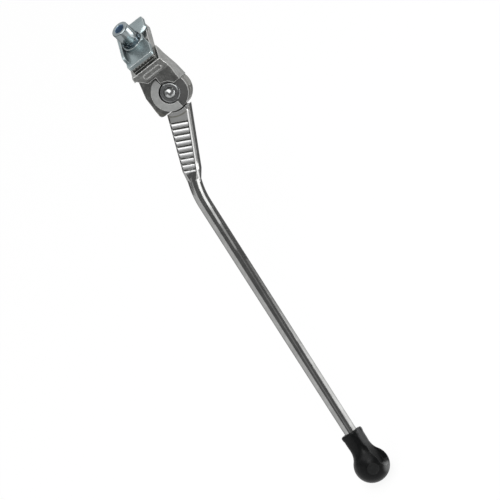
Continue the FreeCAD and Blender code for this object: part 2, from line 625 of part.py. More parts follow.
# Leg: forged eye with a stop ring, ribbed upper leg, bend and tapered round rod
def make_leg():
    body = new_body("leg")
    eye = new_sketch(body, "eye_view", "XY_Plane", ("0", "0", "face_gap"))
    circle(eye, "eye_radius")
    grow(body, eye, "eye_thickness", "eye")

    # Upper leg lofted into a faceted blend
    top = leg_section(body, "thigh_section", "thigh_top", "thigh_lean", -1)
    octagon(top, "thigh_width", "thigh_depth", "thigh_bevel")
    ankle = leg_section(body, "ankle_section", "ankle_rise", "thigh_lean", -1)
    octagon(ankle, "ankle_width", "ankle_depth", "ankle_bevel")
    blend = leg_section(body, "blend_section", "blend_rise", "thigh_lean", -1)
    octagon(blend, "blend_width", "blend_width", "blend_bevel")
    loft(body, [top, ankle, blend], "thigh")

    # The upper leg clears the cheek behind the eye and what lies over the eye
    behind = new_sketch(body, "cheek_room_view", "XY_Plane", ("0", "0", "face_gap"))
    circle(behind, "eye_radius + shoulder_gap")
    cut(body, behind, "2 * cheek_thickness", "cheek_room")
    crown = new_sketch(body, "crown_view", "XY_Plane", ("0", "0", EYE_FACE))
    circle(crown, "eye_radius + moat_width")
    cut(body, crown, "2 * cheek_thickness", "crown_room", upward=True)

    # Shoulders beside the eye: the rear one meets the head when folded, the forward one the stop lug
    far = "(4 * head_front)"
    rear, stop = "(web_end - shoulder_gap)", "(lug_reach + stop_gap)"
    shoulders = new_sketch(body, "shoulder_view", "XY_Plane", ("0", "0", "-2 * cheek_thickness"))
    outline(shoulders, [
        ("-" + rear, SHOULDER),
        ("-" + rear, "sqrt(eye_radius ^ 2 - %s ^ 2)" % rear, "eye_radius"),
        ("-eye_radius", "0"),
        ("-" + far, "0"),
        ("-" + far, SHOULDER),
    ])
    outline(shoulders, [
        (far, stop),
        (far, "0"),
        ("eye_radius", "0", "eye_radius"),
        ("sqrt(eye_radius ^ 2 - %s ^ 2)" % stop, stop),
    ])
    cut(body, shoulders, "4 * cheek_thickness", "shoulders", upward=True)

    # Groove between the eye and the upper leg
    moat = new_sketch(body, "moat_view", "XY_Plane", ("0", "0", EYE_FACE))
    circle(moat, "eye_radius + moat_width")
    circle(moat, "eye_radius")
    cut(body, moat, "moat_depth", "moat")

    # Stop ring on the forward half of the eye
    ring = new_sketch(body, "ring_view", "XY_Plane", ("0", "0", EYE_FACE))
    circle(ring, "eye_radius")
    circle(ring, "cup_diameter / 2 + face_gap")
    grow(body, ring, "ring_height", "stop_ring")
    wedge = new_sketch(body, "ring_wedge_view", "XY_Plane", ("0", "0", EYE_FACE))
    outline(wedge, [
        ("0", "0"),
        ("2 * eye_radius * cos(ring_end)", "2 * eye_radius * sin(ring_end)"),
        ("-2 * eye_radius", "2 * eye_radius"),
        ("-2 * eye_radius", "-2 * eye_radius"),
        ("2 * eye_radius * cos(ring_start)", "-2 * eye_radius * sin(ring_start)"),
    ])
    cut(body, wedge, "2 * ring_height", "ring_gap", upward=True)

    # Ribs: sloped grooves across the front of the upper leg, closed by a border along its rear edge
    border = "(thigh_width / 2 - thigh_bevel - rib_border - (thigh_top - rib_top) * tan(rib_turn))"
    groove = new_sketch(
        body, "groove_view", "YZ_Plane",
        ("knee_down - rib_top * cos(thigh_lean) + %s * sin(thigh_lean)" % border,
         "leg_axis_lift + thigh_depth / 2",
         "knee_forward - rib_top * sin(thigh_lean) - %s * cos(thigh_lean)" % border),
        (0, -1, 0), "thigh_lean")
    outline(groove, [
        ("0", "rib_depth"),
        ("rib_wall", "-rib_depth"),
        ("rib_floor", "-rib_depth"),
        ("rib_groove", "0"),
        ("rib_groove", "rib_depth"),
    ])
    first = cut(body, groove, "2 * thigh_width", "rib_groove", upward=True)
    slant = new_sketch(body, "rib_row_view", "XY_Plane", ("0", "0", "0"), (0, 0, -1), "thigh_lean + rib_turn")
    row(body, first, (slant, "V_Axis"), "rib_count", "rib_pitch", "ribs")

    # Round rod: stub inside the upper leg, bend and tapered shin
    tangent = KNEE_TANGENT
    stub = leg_section(body, "stub_section", tangent, "thigh_lean", -1)
    circle(stub, "rod_diameter / 2")
    grow(body, stub, "ankle_rise", "stub")
    path = new_sketch(body, "knee_path", "XY_Plane", ("0", "0", "leg_axis_lift"))
    start_x, start_y = [part % tangent for part in
                        ("knee_forward - %s * sin(thigh_lean)", "knee_down - %s * cos(thigh_lean)")]
    end_x, end_y = [part % tangent for part in
                    ("knee_forward + %s * sin(shin_lean)", "knee_down + %s * cos(shin_lean)")]
    start = FreeCAD.Vector(size(start_x), size(start_y), 0)
    end = FreeCAD.Vector(size(end_x), size(end_y), 0)
    bend = path.addGeometry(arc_between(start, end, size("knee_radius")), False)
    pin(path, bend, 1, start_x, start_y)
    pin(path, bend, 2, end_x, end_y)
    number = path.addConstraint(Sketcher.Constraint("Radius", bend, size("knee_radius")))
    path.setExpression("Constraints[%d]" % number, expr("knee_radius"))
    section = leg_section(body, "knee_section", tangent, "thigh_lean", -1)
    circle(section, "rod_diameter / 2")
    doc.recompute()
    knee = body.newObject("PartDesign::AdditivePipe", "knee")
    knee.Profile = section
    knee.Spine = (path, ["Edge1"])
    doc.recompute()
    upper = leg_section(body, "shin_upper_section", tangent, "shin_lean", 1)
    circle(upper, "rod_diameter / 2")
    lower = leg_section(body, "shin_lower_section", "shin_length", "shin_lean", 1)
    circle(lower, "rod_tip_diameter / 2")
    loft(body, [upper, lower], "shin")

    # Bore for the bush and dimples for the detent when deployed and when folded
    bore = new_sketch(body, "eye_bore_view", "XY_Plane", ("0", "0", EYE_FACE))
    circle(bore, "rivet_diameter / 2 + bush_wall + 2 * rivet_fit")
    cut(body, bore, "2 * eye_thickness", "eye_bore")
    for name, angle in (("deployed", "detent_angle"), ("folded", "(detent_angle - fold_angle)")):
        dimple = new_sketch(body, name + "_dimple_view", "XY_Plane", ("0", "0", "face_gap"))
        circle(dimple, "detent_diameter / 2 + face_gap", "%s * cos(%s)" % (DETENT_RADIUS, angle),
               "%s * sin(%s)" % (DETENT_RADIUS, angle))
        cut(body, dimple, "detent_travel + face_gap", name + "_dimple", upward=True)
    place_at_pivot(body)
    return body


# Rubber foot turned about the lower end of the rod
def make_foot():
    body = new_body("rubber_foot")
    rise = "(shin_length - foot_grip)"
    base = (
        "knee_forward + %s * sin(shin_lean)" % rise,
        "knee_down + %s * cos(shin_lean)" % rise,
        "leg_axis_lift",
    )
    profile = new_sketch(body, "foot_profile", "XY_Plane", base, (0, 0, -1), "shin_lean")
    taper = "((rod_diameter - rod_tip_diameter) / 2 / (shin_length - %s))" % KNEE_TANGENT
    mouth = "(rod_tip_diameter / 2 + %s * foot_grip + foot_fit)" % taper
    flare_x = "foot_bulb_radius * sin(foot_flare_angle)"
    flare_y = "foot_bulb_center - foot_bulb_radius * cos(foot_flare_angle)"
    outline(profile, [
        (mouth, "0"),
        ("foot_collar_diameter / 2 + foot_rim", "0"),
        ("foot_collar_diameter / 2 + foot_rim", "foot_rim_width"),
        ("foot_collar_diameter / 2", "foot_rim_width"),
        ("foot_collar_diameter / 2", "foot_collar_height", "-foot_flare_radius"),
        (flare_x, flare_y, "foot_bulb_radius"),
        ("0", "foot_bulb_center + foot_bulb_radius"),
        ("0", "foot_grip"),
        ("rod_tip_diameter / 2 + foot_fit", "foot_grip"),
    ])
    spin(body, profile, "foot")

    # Flat-floored hollow down the rear side of the round end
    flat = leg_section(body, "foot_flat_view", rise, "shin_lean", 1)
    near, far, half = "foot_flat", "(2 * foot_bulb_radius)", "foot_flat_width / 2"
    aim = ("-sin(foot_flat_angle)", "cos(foot_flat_angle)")
    corners = []
    for out, side in ((near, "-"), (far, "-"), (far, ""), (near, "")):
        corners.append((
            "%s * (%s) + (%s%s) * %s" % (out, aim[0], side, half, aim[1]),
            "%s * (%s) - (%s%s) * (%s)" % (out, aim[1], side, half, aim[0]),
        ))
    outline(flat, corners)
    cut(body, flat, "foot_bulb_center + foot_flat_end", "foot_flat_cut")
    place_at_pivot(body)
    return body


# Pivot: rivet with a domed head, domed washer, bush and washer under the closed end
def make_rivet():
    body = new_body("pivot_rivet")
    profile = new_sketch(body, "rivet_profile", "XZ_Plane")
    under = "(%s + cup_thickness)" % CUP_SEAT
    dome = "((rivet_head_diameter ^ 2 / 4 + rivet_head_height ^ 2) / (2 * rivet_head_height))"
    tail = "(-cheek_thickness - back_washer_thickness)"
    outline(profile, [
        ("0", tail + " - rivet_tail_height"),
        ("rivet_tail_diameter / 3", tail + " - rivet_tail_height"),
        ("rivet_tail_diameter / 2", tail + " - rivet_tail_height / 3"),
        ("rivet_tail_diameter / 2", tail),
        ("rivet_diameter / 2", tail),
        ("rivet_diameter / 2", under),
        ("rivet_head_diameter / 2", under, dome),
        ("0", under + " + rivet_head_height"),
    ])
    spin(body, profile, "rivet")
    place_at_pivot(body)
    return body


def make_cup_washer():
    body = new_body("pivot_cup_washer")
    profile = new_sketch(body, "cup_profile", "XZ_Plane", ("0", CUP_SEAT, "0"))
    outline(profile, [
        ("rivet_diameter / 2 + rivet_fit", "0"),
        ("cup_diameter / 2", "0"),
        ("cup_diameter / 2", "cup_edge", "cup_round"),
        ("cup_flat_diameter / 2", "cup_thickness"),
        ("rivet_diameter / 2 + rivet_fit", "cup_thickness"),
    ])
    spin(body, profile, "cup")
    place_at_pivot(body)
    return body


def make_ring(label, inner, outer, bottom, height):
    """Plain ring about the pivot axis."""
    body = new_body(label)
    ring = new_sketch(body, label + "_view", "XY_Plane", ("0", "0", bottom))
    circle(ring, outer)
    circle(ring, inner)
    grow(body, ring, height, label + "_ring")
    place_at_pivot(body)
    return body


# Detent: plunger with a round nose and its spring in a blind bore of the cheek
def make_plunger():
    body = new_body("detent_plunger")
    profile = new_sketch(body, "plunger_profile", "XZ_Plane", (DETENT_X, "0", "-(%s)" % DETENT_Y))
    outline(profile, [
        ("0", "-detent_length"),
        ("detent_diameter / 2", "-detent_length"),
        ("detent_diameter / 2", "-detent_diameter / 4"),
        ("detent_diameter / 4", "0"),
        ("0", "0"),
    ])
    spin(body, profile, "plunger")
    place_at_pivot(body)
    return body


def make_spring():
    """Coil between the plunger and the bottom of its bore, shaped by a sweep along a helix."""
    item = doc.addObject("Part::Feature", "detent_spring")
    item.Label = "detent_spring"
    wire = size("spring_wire")
    coil = size("spring_diameter - spring_wire") / 2
    room = size("detent_bore_depth - detent_length")
    rise = room - wire - 2 * size("spring_play")
    helix = Part.makeHelix(rise / size("spring_turns"), rise, coil)
    ring = Part.Wire([Part.makeCircle(wire / 2, FreeCAD.Vector(coil, 0, 0), FreeCAD.Vector(0, 1, 0))])
    solid = Part.Wire(helix.Edges).makePipeShell([ring], True, True)
    item.Shape = solid
    place_at_pivot(item, DETENT_X, DETENT_Y, "-detent_bore_depth + spring_wire / 2 + spring_play")
    return item


PARTS = [
    make_head(),
    make_clamp_plate(),
    make_flat_washer(),
    make_lock_washer(),
    make_bolt(),
    make_leg(),
    make_foot(),
    make_rivet(),
    make_cup_washer(),
    make_ring("pivot_bush", "rivet_diameter / 2 + rivet_fit", "rivet_diameter / 2 + bush_wall + rivet_fit",
              "face_gap", "eye_thickness"),
    make_ring("rivet_back_washer", "rivet_diameter / 2 + rivet_fit", "back_washer_diameter / 2",
              "-cheek_thickness - back_washer_thickness", "back_washer_thickness"),
    make_plunger(),
    make_spring(),
]
doc.recompute()

# Check every object, then write one file for each piece
for item in doc.Objects:
    if "Invalid" in item.State or "Error" in item.State:
        raise RuntimeError("%s failed: %s" % (item.Label, item.State))
for item in PARTS:
    if item.Shape.isNull() or not item.Shape.isValid() or len(item.Shape.Solids) != 1:
        raise RuntimeError("%s is not one valid solid" % item.Label)
os.makedirs("parts", exist_ok=True)
for item in PARTS:
    item.Shape.exportStep("parts/%s.step" % item.Label)
    print("%-20s %9.1f mm3" % (item.Label, item.Shape.Volume))
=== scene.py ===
import json
import math
from functools import cached_property, partial

import bmesh
import bpy
from mathutils import Matrix, Vector


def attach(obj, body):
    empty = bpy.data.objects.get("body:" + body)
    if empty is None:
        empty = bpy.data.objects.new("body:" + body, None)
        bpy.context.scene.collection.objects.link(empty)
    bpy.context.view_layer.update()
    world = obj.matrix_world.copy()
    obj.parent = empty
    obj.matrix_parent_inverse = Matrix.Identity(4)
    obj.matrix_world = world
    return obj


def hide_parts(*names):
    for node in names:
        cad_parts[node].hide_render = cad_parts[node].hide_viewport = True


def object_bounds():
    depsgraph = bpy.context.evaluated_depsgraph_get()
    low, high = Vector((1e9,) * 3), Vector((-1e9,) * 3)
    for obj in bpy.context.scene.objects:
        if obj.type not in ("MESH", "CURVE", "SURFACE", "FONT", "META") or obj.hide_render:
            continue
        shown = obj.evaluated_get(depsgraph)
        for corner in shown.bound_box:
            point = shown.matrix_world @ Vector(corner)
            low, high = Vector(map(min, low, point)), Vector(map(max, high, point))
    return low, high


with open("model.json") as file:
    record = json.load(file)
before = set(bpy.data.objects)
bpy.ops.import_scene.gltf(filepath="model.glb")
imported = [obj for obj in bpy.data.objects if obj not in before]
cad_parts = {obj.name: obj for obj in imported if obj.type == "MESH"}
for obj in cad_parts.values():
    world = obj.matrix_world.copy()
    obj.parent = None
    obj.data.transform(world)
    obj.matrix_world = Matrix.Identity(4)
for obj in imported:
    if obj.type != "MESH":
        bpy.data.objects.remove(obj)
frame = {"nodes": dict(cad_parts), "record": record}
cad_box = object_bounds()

MM = 0.001
scene = bpy.context.scene
nodes = frame["nodes"]

# Places taken from the part: the pivot's frame, the rod's direction and the mouth of the foot
PIVOT = Vector((0.0, 22.0, -30.0)) * MM
TILT = math.radians(33.0)
PIVOT_X = Vector((1.0, 0.0, 0.0))
PIVOT_Y = Vector((0.0, math.sin(TILT), -math.cos(TILT)))
PIVOT_Z = Vector((0.0, math.cos(TILT), math.sin(TILT)))
SHIN = Vector((0.0946, 0.5422, -0.8349)).normalized()
FOOT_MOUTH = (Vector((48.85, 170.15, -252.62)) - SHIN * 0.8) * MM

# Camera of the photograph
PIXELS = 500
MM_PER_PIXEL = 0.70
SENSOR_WIDTH = 36.0
CAMERA_DISTANCE, CAMERA_REACH = 6.0, 100.0
AZIMUTH, ELEVATION, ROLL = (math.radians(angle) for angle in (199.0, 33.0, 48.0))
RIVET_TOP = Vector((0.0, 32.9, -22.9)) * MM
RIVET_PIXEL = (168.3, 93.7)

VIEW = Vector((
    math.sin(AZIMUTH) * math.cos(ELEVATION),
    -math.cos(AZIMUTH) * math.cos(ELEVATION),
    math.sin(ELEVATION),
))
LEVEL = Vector((math.cos(AZIMUTH), math.sin(AZIMUTH), 0.0))
UPRIGHT = VIEW.cross(LEVEL)
RIGHT = LEVEL * math.cos(ROLL) - UPRIGHT * math.sin(ROLL)
UP = LEVEL * math.sin(ROLL) + UPRIGHT * math.cos(ROLL)

# Eye and ribbed leg in the pivot's frame, in millimetres: the leg's direction, the side of its rear edge,
# the rows of its ribs and the lines in which these end
EYE_RADIUS, EYE_FACE, SHOULDER_RADIUS = 13.3, 7.5, 17.4
LEAN = math.radians(26.5)
THIGH = PIVOT_X * math.sin(LEAN) + PIVOT_Y * math.cos(LEAN)
REARWARD = PIVOT_Y * math.sin(LEAN) - PIVOT_X * math.cos(LEAN)
RIB_START, RIB_END, RIB_STEP = 21.23, 58.1, 4.294
RIB_REAR, RIB_FRONT, RIB_SLANT = 9.8, 4.8, 0.0528
BORDER_REAR, BORDER_LEAD, BORDER_TAIL = 11.2, 7.5, 8.0

# Clamp bolt, in millimetres
BOLT_TURNS = 96
HEAD_LOW, HEAD_HIGH = 11.8, 23.8
HEAD_RADIUS, HEAD_ROUND, HEAD_ROUND_STEPS = 6.5, 0.9, 8
KEY_HALF, KEY_DEPTH = 3.2, 5.0
SOCKET_RADIUS, SOCKET_LOW = 4.0, 17.5
SHANK_RADIUS, BOLT_END = 4.0, -28.2
THREAD_TOP, THREAD_ROOT, THREAD_PITCH, THREAD_STEPS = -1.0, 3.36, 1.25, 9
THREAD_RIDGE, THREAD_SLOPE = 1.6, 3.91
THREAD_RUNOUT, THREAD_FADE = 2.5, 0.8
TIP_CHAMFER, TIP_LENGTH = 0.75, 1.2

# Rubber foot, in millimetres: the direction that faces the camera, its right side, and the hollow down its
# rear side, then the round end, the flare between neck and end, and the flat disc
FOOT_TURNS, FOOT_STEPS = 144, 90
FOOT_OUT = (VIEW - SHIN * VIEW.dot(SHIN)).normalized()
FOOT_SIDE = SHIN.cross(FOOT_OUT)
if FOOT_SIDE.dot(RIGHT) < 0:
    FOOT_SIDE = -FOOT_SIDE
SIDE_FLAT_TURN = math.radians(53.0)
HOLLOW = FOOT_OUT * math.cos(SIDE_FLAT_TURN) + FOOT_SIDE * math.sin(SIDE_FLAT_TURN)
BORE, GRIP = 4.76, 23.8
BULB, BULB_CENTRE = 12.9, 27.6
FLARE = 15.0
FLARE_ANGLE = math.radians(52.4)
FLARE_MID = BULB_CENTRE - (BULB + FLARE) * math.cos(FLARE_ANGLE)
FLARE_END = BULB_CENTRE - BULB * math.cos(FLARE_ANGLE)
FLARE_AXIS = (BULB + FLARE) * math.sin(FLARE_ANGLE)
DISC_NORMAL = (VIEW * 12.6 + RIGHT * 1.0 - UP * 2.7).normalized()
DISC_REACH, DISC_FROM = 12.35, 15.0
SQUARE_SHARE, SQUARE_FADE, SQUARE_POWER, SQUARE_MIX = 0.85, (6.0, 19.0), 2.2, 0.55
HOLLOW_FLOOR, HOLLOW_RISE, HOLLOW_RISE_SPAN = 6.85, 1.55, (8.0, 28.0)
HOLLOW_HALF, HOLLOW_WIDENS, HOLLOW_WIDEN_SPAN = 2.0, 2.6, (9.0, 25.0)
HOLLOW_END, HOLLOW_END_BOW, HOLLOW_END_BEFORE, HOLLOW_END_AFTER = 32.0, 2.5, 2.0, 1.2
HOLLOW_WALL_START, HOLLOW_WALL_END = 0.82, 1.25
SQUARE_LIP, HOLLOW_LIP = (6.0, 7.0), (6.6, 7.0)
# Centre of the painted highlight at the end of the hollow
HIGHLIGHT_SPOT = SHIN * 6.0 + HOLLOW * 11.4

# Rows of depth and radius down the bore and over the foot's mouth
BORE_ROWS = [(GRIP, 0.05), (GRIP, BORE - 0.4), (GRIP - 0.4, BORE), (0.7, BORE), (0.25, BORE + 0.15),
             (0.05, BORE + 0.5)]
MOUTH_ROWS = [(0.0, 5.9), (0.03, 6.3), (0.15, 6.75), (0.45, 7.15), (0.95, 7.40), (1.7, 7.48), (2.6, 7.45),
              (3.4, 7.35)]
NECK_START = 4.2

# Colours
WHITE = (1.0, 1.0, 1.0)
SATIN = (0.280, 0.285, 0.280)
# Grease, darkened further as painted shade round the pivot
GREASE_AND_SHADE = (0.115, 0.112, 0.092)
# Painted shade inside the bolt's socket
SOCKET_SHADE_BLUE = (0.10, 0.16, 0.24)
# Worn edges, lightened also as a painted highlight
WORN_EDGE_AND_HIGHLIGHT = (0.90, 0.90, 0.89)
# Painted shade in the rib grooves
RIB_GROOVE_SHADE = (0.036, 0.036, 0.034)
# Painted highlight on the ribs' crests
RIB_CREST_HIGHLIGHT = (0.72, 0.72, 0.73)
RUBBER_DARK, RUBBER_LIGHT = (0.0035, 0.0038, 0.0040), (0.0060, 0.0064, 0.0066)
# Dust, and a painted sheen on the rubber's edges
RUBBER_DUST, RUBBER_EDGE_SHEEN = (0.015, 0.016, 0.016), (0.07, 0.071, 0.07)
# Scuff of the disc, and a painted highlight at the end of the hollow
RUBBER_SCUFF, RUBBER_HIGHLIGHT = (0.028, 0.029, 0.029), (0.20, 0.204, 0.204)
# Painted light on the floor of the hollow
RUBBER_FACET_LIGHT = (0.045, 0.046, 0.047)
# Darkening of corners: dirt with painted shade
DIRT_AND_SHADE_TONE, SATIN_DIRT_AND_SHADE_TONE = 0.22, 0.15

# Noises: scale per millimetre, detail and roughness
CLOUD_NOISE = (0.09, 5.0, 0.6)
PATCH_NOISE = (0.45, 4.0, 0.65)
SPECK_NOISE = (3.2, 3.0, 0.7)
SCATTER_NOISE = (0.8, 5.0, 0.7)
WAVE_NOISE = (0.22, 2.0, 0.5)
SMEAR_NOISE = (0.35, 5.0, 0.65)
RUBBER_CLOUD_NOISE = (0.16, 5.0, 0.6)
RUBBER_GRIT_NOISE = (4.5, 4.0, 0.7)
RUBBER_DUST_NOISE = (0.7, 6.0, 0.72)
RUBBER_GLOSS_NOISE = (1.1, 5.0, 0.7)

# Ramps: the values between which they run, and the results where these are not 0 and 1
CLOUD_RAMP = (0.32, 0.68)
PATCH_RAMP = (0.30, 0.72)
SCATTER_RAMP = (0.25, 0.75)
SMEAR_RAMP = (0.25, 0.65, 0.45, 0.95)
EDGE_RAMP = (0.995, 0.86)
EDGE_SPECK_RAMP = (0.30, 0.62, 0.40, 1.0)
EDGE_OPEN_RAMP = (0.55, 0.85)
FACE_RAMP = (0.90, 0.97, 0.0, 0.55)
SIDE_RAMP = (0.5, 0.2)
SHOULDER_RAMP = (0.8, 0.3)
CREST_RISE, CREST_FALL = (0.34, 0.50), (0.86, 0.66, 0.0, 0.6)
GROOVE_EDGE_RAMP = (0.92, 0.98, 0.0, 0.6)
GROOVE_FRONT_RAMP = (-0.8, -0.2)
RUBBER_CLOUD_RAMP = (0.3, 0.7)
RUBBER_DUST_RAMP = (0.52, 0.80)
RUBBER_EDGE_RAMP = (0.99, 0.8)
RUBBER_GLOSS_RAMP = (0.25, 0.75, 0.26, 0.42)
SCUFF_DUST_RAMP = (0.0, 0.6, 0.55, 1.0)
HIGHLIGHT_WALL_RAMP, HIGHLIGHT_WALL_SHARE = (0.1, -0.35), (0.0, 1.0, 0.7, 1.0)
HIGHLIGHT_REACH_RAMP, HIGHLIGHT_ALONG_RAMP = (6.0, 1.5), (1.2, 2.6)
FACET_RAMP, FACET_ALONG_RAMP = (0.90, 0.97), (-8.0, -18.0)

# Surface details of metal: samples of the bevel and corner nodes, reach of the dirt and painted shade in
# corners, bumps and gloss
NODE_SAMPLES = 6
CORNER_REACH = 1.6 * MM
BUMP_STRENGTH, BUMP_DEPTH = 0.5, 1.0 * MM
GRAIN_HEIGHT = 0.1
GLOSS_LEAST, GLOSS_MOST, CORNER_GLOSS, SATIN_GLOSS = 0.75, 1.35, 0.2, 0.5
EDGE_METALLIC, SATIN_METALLIC, OVERLAY_METALLIC = 0.35, 0.25, 0.3
SATIN_DARK, SATIN_LIGHT = 0.90, 1.08

# Surface details of rubber
RUBBER_EDGE_RADIUS = 0.8
RUBBER_SPECULAR = 0.12
RUBBER_DUST_SHARE, RUBBER_EDGE_SHARE = 0.35, 0.6
RUBBER_CLOUD_HEIGHT, RUBBER_GRIT_HEIGHT = 0.25, 0.02


def at_pixel(column, row):
    """Point of the picture plane through the rivet's top that shows at this pixel."""
    across = (column - RIVET_PIXEL[0]) * MM_PER_PIXEL * MM
    down = (row - RIVET_PIXEL[1]) * MM_PER_PIXEL * MM
    return RIVET_TOP + RIGHT * across - UP * down


PICTURE_CENTRE = at_pixel(PIXELS / 2, PIXELS / 2)


def place_camera():
    data = bpy.data.cameras.new("camera")
    data.sensor_width = SENSOR_WIDTH
    data.lens = SENSOR_WIDTH * CAMERA_DISTANCE / (PIXELS * MM_PER_PIXEL * MM)
    data.clip_end = CAMERA_REACH
    camera = bpy.data.objects.new("camera", data)
    scene.collection.objects.link(camera)
    turn = Matrix((RIGHT, UP, VIEW)).transposed().to_4x4()
    camera.matrix_world = Matrix.Translation(PICTURE_CENTRE + VIEW * CAMERA_DISTANCE) @ turn
    scene.camera = camera


class Graph:
    """Short way to write a node tree."""

    def __init__(self, tree):
        self.tree = tree

    def put(self, socket, value):
        if isinstance(value, bpy.types.NodeSocket):
            self.tree.links.new(value, socket)
        elif socket.type == "RGBA" and len(value) == 3:
            socket.default_value = (*value, 1.0)
        else:
            socket.default_value = value

    def add(self, kind, inputs, output=0, **settings):
        item = self.tree.nodes.new("ShaderNode" + kind)
        for key, value in settings.items():
            setattr(item, key, value)
        for key, value in inputs.items():
            self.put(item.inputs[key], value)
        return item.outputs[output]

    def math(self, operation, first, second=0.0):
        return self.add("Math", {0: first, 1: second}, operation=operation)

    def times(self, first, *others):
        for other in others:
            first = self.math("MULTIPLY", first, other)
        return first

    def plus(self, first, second):
        return self.math("ADD", first, second)

    def larger(self, first, second):
        return self.math("MAXIMUM", first, second)

    def vector(self, operation, first, second):
        return self.add("VectorMath", {0: first, 1: second}, operation=operation)

    def dot(self, first, second):
        return self.add("VectorMath", {0: first, 1: second}, "Value", operation="DOT_PRODUCT")

    def length(self, first):
        return self.add("VectorMath", {0: first}, "Value", operation="LENGTH")

    def ramp(self, value, low, high, start=0.0, end=1.0):
        sockets = {"Value": value, "From Min": low, "From Max": high, "To Min": start, "To Max": end}
        return self.add("MapRange", sockets, interpolation_type="SMOOTHSTEP")

    def band(self, value, rise, fall):
        """Product of two ramps of one value, each given by what ramp takes."""
        return self.times(self.ramp(value, *rise), self.ramp(value, *fall))

    def noise(self, scale, detail, rough):
        sockets = {"Vector": self.place, "Scale": scale, "Detail": detail, "Roughness": rough}
        return self.add("TexNoise", sockets)

    def mix(self, share, first, second):
        return self.add("Mix", {0: share, 6: first, 7: second}, 2, data_type="RGBA")

    def blend(self, share, first, second):
        return self.add("Mix", {0: share, 2: first, 3: second}, 0, data_type="FLOAT")

    def bevel(self, radius):
        return self.add("Bevel", {"Radius": radius * MM}, samples=NODE_SAMPLES)

    def corner(self, reach):
        return self.add("AmbientOcclusion", {"Distance": reach}, "AO", samples=NODE_SAMPLES, only_local=True)

    def bump(self, height, normal):
        sockets = {"Strength": BUMP_STRENGTH, "Distance": BUMP_DEPTH, "Height": height, "Normal": normal}
        return self.add("Bump", sockets)

    def principled(self, inputs):
        shader = self.tree.nodes["Principled BSDF"]
        for key, value in inputs.items():
            self.put(shader.inputs[key], value)

    def surface(self, shader):
        self.put(self.tree.nodes["Material Output"].inputs["Surface"], shader)

    @cached_property
    def place(self):
        """Place on the object, in millimetres."""
        metres = self.add("TexCoord", {}, "Object")
        return self.add("VectorMath", {0: metres, "Scale": 1.0 / MM}, operation="SCALE")

    @cached_property
    def normal(self):
        return self.add("NewGeometry", {}, "Normal")


def new_material(name):
    material = bpy.data.materials.new(name)
    material.use_nodes = True
    return material, Graph(material.node_tree)


def shade(color, factor):
    return tuple(min(1.0, part * factor) for part in color)


def metal(name, base, rough, edge_radius=0.4, wear_and_highlight=0.6, dirt_and_shade=0.5, grain=0.10, wave=0.08, variety=0.12,
          blotch=(0.35, 0.93), metallic=1.0, dirt_and_shade_ramp=(0.75, 0.15), rim=0.4, satin=None, overlays=()):
    """Cloudy colour, rounded edges that are worn and lightened as a painted highlight, dirt and painted
    shade darkening the corners, fine grain and slow waves.
    """
    material, graph = new_material(name)
    cloud = graph.ramp(graph.noise(*CLOUD_NOISE), *CLOUD_RAMP)
    patch = graph.ramp(graph.noise(*PATCH_NOISE), *PATCH_RAMP)
    speck = graph.noise(*SPECK_NOISE)
    rounded = graph.bevel(edge_radius)
    corner = graph.corner(CORNER_REACH)
    # Edges: wear, and a painted highlight where the plating catches the lamps
    edge = graph.times(
        graph.ramp(graph.dot(rounded, graph.normal), *EDGE_RAMP),
        graph.ramp(speck, *EDGE_SPECK_RAMP),
        graph.ramp(corner, *EDGE_OPEN_RAMP, 0.0, wear_and_highlight),
    )
    # Corners darkened by occlusion: dirt with painted shade
    corner_dirt_and_shade = graph.ramp(corner, *dirt_and_shade_ramp)
    dirt_and_shade_cover = graph.times(corner_dirt_and_shade, dirt_and_shade)
    color = graph.mix(cloud, shade(base, 1.0 - variety), shade(base, 1.0 + variety))
    color = graph.mix(graph.times(patch, blotch[0]), color, shade(base, blotch[1]))
    color = graph.mix(dirt_and_shade_cover, color, shade(base, DIRT_AND_SHADE_TONE))
    scatter = graph.noise(*SCATTER_NOISE)
    gloss = graph.ramp(scatter, *SCATTER_RAMP, rough * GLOSS_LEAST, rough * GLOSS_MOST)
    gloss = graph.plus(gloss, graph.times(corner_dirt_and_shade, CORNER_GLOSS))
    share = graph.blend(edge, metallic, EDGE_METALLIC)
    if satin is not None:
        matte = satin(graph)
        patchy = graph.mix(patch, shade(SATIN, SATIN_DARK), shade(SATIN, SATIN_LIGHT))
        color = graph.mix(matte, color, patchy)
        color = graph.mix(dirt_and_shade_cover, color, shade(SATIN, SATIN_DIRT_AND_SHADE_TONE))
        gloss = graph.blend(matte, gloss, SATIN_GLOSS)
        share = graph.blend(matte, share, SATIN_METALLIC)
    color = graph.mix(edge, color, WORN_EDGE_AND_HIGHLIGHT)
    # Overlays: grease, painted shade and painted highlights
    for overlay in overlays:
        cover, tone = overlay(graph)
        color = graph.mix(cover, color, tone)
        share = graph.blend(cover, share, OVERLAY_METALLIC)
    waves = graph.times(graph.noise(*WAVE_NOISE), wave)
    height = graph.plus(waves, graph.times(speck, grain * GRAIN_HEIGHT))
    graph.principled({
        "Base Color": color,
        "Roughness": gloss,
        "Metallic": share,
        "Normal": graph.bump(height, rounded),
        "Specular Tint": (rim, rim, rim),
    })
    return material


